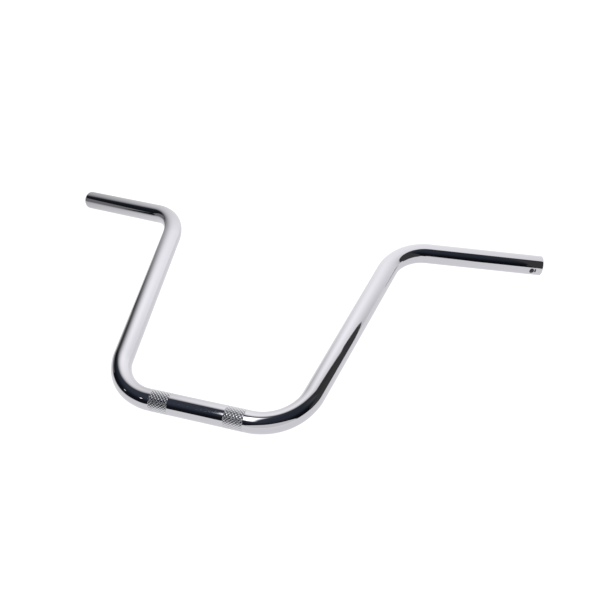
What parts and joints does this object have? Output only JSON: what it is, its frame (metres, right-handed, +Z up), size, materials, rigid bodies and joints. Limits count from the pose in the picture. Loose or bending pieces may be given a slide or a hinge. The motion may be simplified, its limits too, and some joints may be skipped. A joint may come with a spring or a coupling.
{
  "type": "motorcycle handlebar",
  "caption": "Bare chromed motorcycle handlebar, one bent round tube with rising arms, swept-back grip ends and knurled clamp bands.",
  "frame": {"origin": "on the surface the bar lies on, under the middle of its outline in X and Y", "axes": "+X across the bar towards its right end, +Y from the clamp section towards the grips, +Z up; the bar lies on its clamp bands and the rims of its ends"},
  "size_m": [0.6858, 0.3768, 0.0538],
  "materials": {
    "chrome_tube": "polished decorative chrome plate on a drawn steel tube",
    "chrome_knurl": "diamond knurl rolled into the tube, then chrome plated",
    "end_plug": "moulded black polyethylene"
  },
  "bodies": {
    "root": {"bar_tube": "chrome_tube", "left_clamp_knurl": "chrome_knurl", "right_clamp_knurl": "chrome_knurl", "left_end_plug": "end_plug", "right_end_plug": "end_plug"}
  },
  "joints": []
}
